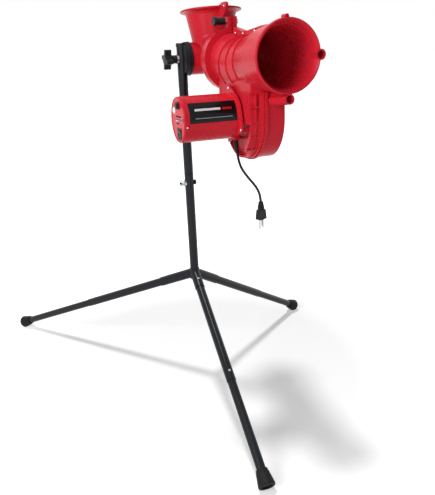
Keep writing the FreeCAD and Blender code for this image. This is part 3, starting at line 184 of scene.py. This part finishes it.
# Soft PVC from a textured mould: matt, with a 1.5 mm grain drawn coarse enough to show.
soft_pvc, tree, shader, place = start_finish("textured_soft_pvc", IOR=1.52,
                                             Specular_IOR_Level=0.2)
mottle(tree, shader, place, 1.5, "#0c0c0d", "#151517", 0.5, 0.66, 0.08)

PLUG_TOP = Vector(CORD_POINTS[-1]) + Vector((0, 0, 0.011))
NECK_GROOVES, NECK_PITCH, NECK_FLARE = 4, 4.4, 0.8
neck_rings = [(0, 4.6), (0.6, 5.6)]
for index in range(NECK_GROOVES):
    at = 1 + index * NECK_PITCH
    width = 6.0 + index * NECK_FLARE
    neck_rings += [(at, width), (at + 2.4, width + 0.3), (at + 2.8, width - 1.0),
                   (at + 4.0, width - 0.9)]
neck_rings += [(18.6, 8.6), (22, 9.2)]
neck = turned("plug_neck", neck_rings, PLUG_TOP + Vector((0, 0, 0.003)), (0, 0, -1), soft_pvc,
              "head")

GRIP_WIDTH, GRIP_DEPTH, GRIP_HEIGHT = 0.0258, 0.0185, 0.025
GRIP_TOP = -0.018
grip_middle = GRIP_TOP - GRIP_HEIGHT / 2
bpy.ops.object.select_all(action="DESELECT")
bpy.ops.mesh.primitive_cube_add(size=1, location=(0, 0, grip_middle),
                                scale=(GRIP_WIDTH, GRIP_DEPTH, GRIP_HEIGHT))
plug = bpy.context.object
plug.name = "plug_grip"
bpy.ops.object.transform_apply(location=True, rotation=True, scale=True)
bpy.ops.object.mode_set(mode="EDIT")
bpy.ops.mesh.select_mode(type="FACE")


def pick_faces(piece, wanted):
    """Selects, in edit mode, the faces for which a test of middle and normal holds."""
    bpy.ops.mesh.select_all(action="DESELECT")
    bpy.ops.object.mode_set(mode="OBJECT")
    for face in piece.data.polygons:
        face.select = wanted(face.center, face.normal)
    bpy.ops.object.mode_set(mode="EDIT")


pick_faces(plug, lambda middle, normal: normal.z > 0.9)
bpy.ops.transform.resize(value=(0.8, 0.86, 1), center_override=(0, 0, GRIP_TOP))
pick_faces(plug, lambda middle, normal: abs(normal.y) > 0.8)
bpy.ops.mesh.inset(thickness=0.0038, depth=-0.0011, use_individual=True)
bpy.ops.mesh.select_all(action="SELECT")
bpy.ops.mesh.bevel(offset=0.0009, segments=2, affect="EDGES")
bpy.ops.object.mode_set(mode="OBJECT")
rounding = plug.modifiers.new("rounding", "SUBSURF")
rounding.levels = rounding.render_levels = 2
bpy.ops.object.modifier_apply(modifier="rounding")
BLADES_TURN = math.radians(29.9)
plug.matrix_world = Matrix.Translation(PLUG_TOP) @ Matrix.Rotation(BLADES_TURN, 4, "Z")
bpy.ops.object.transform_apply(location=True, rotation=True, scale=True)
bpy.ops.object.shade_smooth_by_angle(angle=EDGE_ANGLE)
plug.data.materials.append(soft_pvc)
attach(plug, "head")
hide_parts("plug_body")
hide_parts("plug_body")

# Brass blades, nickel flashed: pale, smooth and a little worn by sockets.
blade_metal, tree, shader, place = start_finish("nickel_flashed_brass", Metallic=1.0)
mottle(tree, shader, place, 4.0, "#9c9c9a", "#c0bfba", 0.18, 0.34)
give(blade_metal, "plug_blades")

# ------------------------------------------------------------ strain relief
# A tapered sleeve of soft black PVC moulded onto the cord where it leaves the motor pod.
# Rings are cut into its lower half; here the sleeve is one rigid piece that rides with the head.
gland_way = Vector(CORD_POINTS[1]) - Vector(CORD_POINTS[0])
gland_way.normalize()
GLAND_BACK = 0.037
GLAND_GROOVES, GLAND_PITCH, GLAND_TAPER = 6, 4.7, 0.3
gland_rings = [(0, 4.5), (12.8, 4.5), (13.1, 6.1)]
for index in range(GLAND_GROOVES):
    at = 15 + index * GLAND_PITCH
    width = 6.1 - index * GLAND_TAPER
    gland_rings += [(at, width), (at + 0.4, width - 1.1), (at + 1.6, width - 1.2),
                    (at + 2.0, width - 0.15), (at + 4.2, width - 0.3)]
gland_rings += [(44.6, 4.3), (45.4, 3.7)]
gland = turned("strain_relief_sleeve", gland_rings,
               Vector(CORD_POINTS[0]) - gland_way * GLAND_BACK, gland_way, soft_pvc, "head")
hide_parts("strain_relief")

# ------------------------------------------------------------ feeder, head and muzzle bell
# Large shells injection moulded in red ABS, screwed together along an upright seam.  The
# skin is glossy, with slow sink and flow marks and a fine bloom.

# Gloss ABS, moulded: 40 mm flow patches in the colour, 6 mm ripples in the gloss.
red_abs, tree, shader, place = start_finish("moulded_red_abs", IOR=1.5, Specular_IOR_Level=0.1)
FLOW_MM = 40
ripple = mottle(tree, shader, place, 6.0, "#c61c2c", "#d42838", 0.22, 0.34)
flow = add_node(tree, "TexNoise", {"Vector": place, "Scale": 1000 / FLOW_MM,
                                   "Detail": 2.0}).outputs["Fac"]
tint = shader.inputs["Base Color"].links[0].from_node
tree.links.new(flow, tint.inputs["Fac"])
sink = add_node(tree, "Bump", {"Height": flow, "Strength": 0.3, "Distance": 0.0008})
skin = add_node(tree, "Bump", {"Height": ripple, "Strength": 0.1, "Distance": 0.0003,
                               "Normal": sink.outputs["Normal"]})
tree.links.new(skin.outputs["Normal"], shader.inputs["Normal"])
give(red_abs, "feeder_left_shell", "feeder_right_shell", "head_left_shell", "head_right_shell",
     "muzzle_bell", "motor_housing", "motor_end_cap", "motor_standoffs")

# ------------------------------------------------------------ tubes of the stand
# Drawn steel tube of one inch, bent and welded at the hub and powder coated in black.

# Gloss powder coat: orange peel of 2.5 mm.
powder, tree, shader, place = start_finish("black_powder_coat", IOR=1.5, Specular_IOR_Level=0.2)
mottle(tree, shader, place, 2.5, "#0a0e13", "#10161c", 0.24, 0.36, 0.06)
give(powder, "leg_hub", "lower_mast_tube", "upper_mast_tube",
     *[f"{side}_leg_{part}_tube" for side in ("front", "left", "right")
       for part in ("upper", "lower")])

# ------------------------------------------------------------ feet and wheel tyre
# Caps of moulded rubber are pushed over the ends of the legs, and the throwing wheel wears
# a tyre of the same rubber.

# Rubber, moulded: nearly matt, with a 2 mm grain and dust that greys it in patches.
rubber, tree, shader, place = start_finish("moulded_rubber", IOR=1.52, Specular_IOR_Level=0.15)
mottle(tree, shader, place, 2.0, "#0d0d0e", "#1a1a1c", 0.52, 0.7, 0.1)
give(rubber, "front_foot_cap", "left_foot_cap", "right_foot_cap", "wheel_tyre")

# ------------------------------------------------------------ clamp discs, knobs and caps
# Glass filled nylon, moulded black: the toothed discs of the tilt clamp, the star knob, the
# thimble knob of the collar, the cap of the mast, the switch frame and the dial.

# Filled nylon: half matt, with a 1.2 mm speckle from the glass.
nylon, tree, shader, place = start_finish("glass_filled_nylon", IOR=1.53, Specular_IOR_Level=0.2)
mottle(tree, shader, place, 1.2, "#0c0d10", "#17191d", 0.36, 0.52, 0.05)
give(nylon, "mast_top_cap", "inner_clamp_disc", "outer_clamp_disc", "tilt_knob", "collar_knob",
     "speed_dial", "rocker_frame", "rocker_button", "wheel_hub", "mast_bolt")

# ------------------------------------------------------------ label plate
# A strip of black film on the motor pod, left without words: two fine white rules and a
# short red one cross it.
film, tree, shader, place = start_finish("printed_black_film", IOR=1.5, Specular_IOR_Level=0.18)
mottle(tree, shader, place, 5.0, "#08080a", "#0e0e11", 0.16, 0.26)
parts = add_node(tree, "SeparateXYZ", {"Vector": place}).outputs
ink = shader.inputs["Base Color"].links[0].from_socket
plate_low, plate_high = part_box("label_plate")
plate_length = plate_high[0] - plate_low[0]
plate_height = plate_high[2] - plate_low[2]
# Each rule: its height on the plate, half its width, where it begins and ends, its colour.
RULES = [(0.66, 0.055, 0.12, 0.66, "#d9d9dc"), (0.66, 0.055, 0.70, 0.90, "#b5161f"),
         (0.24, 0.02, 0.12, 0.90, "#8e8f94")]
for up, half, begin, end, colour in RULES:
    across = add_node(tree, "Math", {0: parts["Z"], 1: plate_low[2] + plate_height * up,
                                     2: plate_height * half}, operation="COMPARE")
    middle = plate_low[0] + plate_length * (begin + end) / 2
    along = add_node(tree, "Math", {0: parts["X"], 1: middle,
                                    2: plate_length * (end - begin) / 2}, operation="COMPARE")
    both = add_node(tree, "Math", {0: across.outputs["Value"], 1: along.outputs["Value"]},
                    operation="MULTIPLY")
    laid = add_node(tree, "MixRGB", {"Fac": both.outputs["Value"], "Color1": ink,
                                     "Color2": linear(colour)})
    ink = laid.outputs["Color"]
tree.links.new(ink, shader.inputs["Base Color"])
give(film, "label_plate")

# ------------------------------------------------------------ metal fittings
# Screws, washers, nuts, spring buttons and the toggle are steel, plated in bright zinc; the
# motor inside the pod has a steel can and a cast end.

# Bright zinc plate: bluish white metal, with a 3 mm cloudiness.
zinc, tree, shader, place = start_finish("bright_zinc_plate", Metallic=1.0)
mottle(tree, shader, place, 3.0, "#9fa3a8", "#c8cbcf", 0.16, 0.32)
give(zinc, "saddle_washers", "mast_wing_nut", "tilt_bolt", "collar_bolt", "collar_nut",
     "feeder_screws", "head_screws", "motor_screws", "toggle_nut", "toggle_lever",
     "toggle_switch", "speed_pot",
     *[f"{side}_{part}_button" for side in ("front", "left", "right") for part in ("hub", "leg")])

# Machined and cast metal: greyer and rougher, with a 1.5 mm tool grain.
bare_metal, tree, shader, place = start_finish("machined_bare_metal", Metallic=1.0)
mottle(tree, shader, place, 1.5, "#4b4d51", "#64676b", 0.3, 0.5)
give(bare_metal, "motor_can", "motor_end_bell", "motor_bearings", "motor_rotor")

# Epoxy board under green lacquer.
lacquer, tree, shader, place = start_finish("green_board_lacquer", IOR=1.5)
mottle(tree, shader, place, 2.0, "#0d3a20", "#14502c", 0.3, 0.45)
give(lacquer, "control_board")

# ------------------------------------------------------------ pilot lamp
# A domed lens of milky acrylic over a small lamp that is not lit.
milky, tree, shader, place = start_finish("milky_acrylic", IOR=1.49, Subsurface_Weight=0.2,
                                          Subsurface_Scale=0.004)
mottle(tree, shader, place, 4.0, "#dedcda", "#f0efee", 0.12, 0.2)
give(milky, "pilot_lamp")

# ------------------------------------------------------------ floor and light
# A seamless white sweep under a soft overhead lamp, a wide soft box on the left and a weak
# fill lamp in front.
bpy.ops.object.select_all(action="DESELECT")
FLOOR_SIZE = 30
bpy.ops.mesh.primitive_plane_add(size=FLOOR_SIZE, location=(0, 0, 0))
floor = bpy.context.object
floor.name = "studio_floor"
# White paper, matt, lifted for rays that come from the camera or off a shiny piece.
paper, tree, shader, place = start_finish("white_paper", Roughness=0.9, Specular_IOR_Level=0.0)
shader.inputs["Base Color"].default_value = linear("#e0e0e0")
shader.inputs["Emission Color"].default_value = (1, 1, 1, 1)


def background_rays(tree):
    """1 for the rays that should meet a white background, which are those of the camera and
    those that a shiny or a clear piece sends on."""
    rays = add_node(tree, "LightPath", {}).outputs
    first = add_node(tree, "Math", {0: rays["Is Camera Ray"], 1: rays["Is Glossy Ray"]},
                     operation="MAXIMUM")
    return add_node(tree, "Math", {0: first.outputs["Value"], 1: rays["Is Transmission Ray"]},
                    operation="MAXIMUM").outputs["Value"]


# Away from the machine, where no shadow falls, the paper brightens to plain white.
NEAR, FAR = 0.5, 1.1
NEAR_LIFT = 0.37
away = add_node(tree, "VectorMath", {0: place}, operation="LENGTH").outputs["Value"]
brighten = add_node(tree, "MapRange", {"Value": away, "From Min": NEAR, "From Max": FAR,
                                       "To Min": NEAR_LIFT, "To Max": 1.0}).outputs["Result"]
lift = add_node(tree, "Math", {0: background_rays(tree), 1: brighten}, operation="MULTIPLY")
tree.links.new(lift.outputs["Value"], shader.inputs["Emission Strength"])
floor.data.materials.append(paper)

world = bpy.data.worlds.new("studio")
bpy.context.scene.world = world
world.use_nodes = True
sky = world.node_tree.nodes["Background"]
sky.inputs["Color"].default_value = (1, 1, 1, 1)
level = add_node(world.node_tree, "MapRange", {"Value": background_rays(world.node_tree),
                                               "To Min": 0.0, "To Max": 1.0})
world.node_tree.links.new(level.outputs["Result"], sky.inputs["Strength"])


def add_lamp(name, kind, place, aim, **settings):
    """A lamp that stands at a place and faces a point."""
    lamp_data = bpy.data.lights.new(name, kind)
    for setting, value in settings.items():
        setattr(lamp_data, setting, value)
    lamp = bpy.data.objects.new(name, lamp_data)
    lamp.location = place
    lamp.rotation_euler = (Vector(aim) - Vector(place)).to_track_quat("-Z", "Y").to_euler()
    bpy.context.scene.collection.objects.link(lamp)


HEAD_MIDDLE = (0.1, -0.2, 0.9)
add_lamp("overhead", "SUN", (-0.1, 0.17, 0.97), (0, 0, 0), energy=1.7, angle=math.radians(7))
add_lamp("soft_box", "AREA", (-2.4, -1.3, 1.9), HEAD_MIDDLE, shape="DISK", size=1.6, energy=60)
add_lamp("front_fill", "AREA", (-1.1, -2.6, 1.3), HEAD_MIDDLE, shape="DISK", size=1.4, energy=12)

bpy.context.scene.view_settings.view_transform = "Standard"
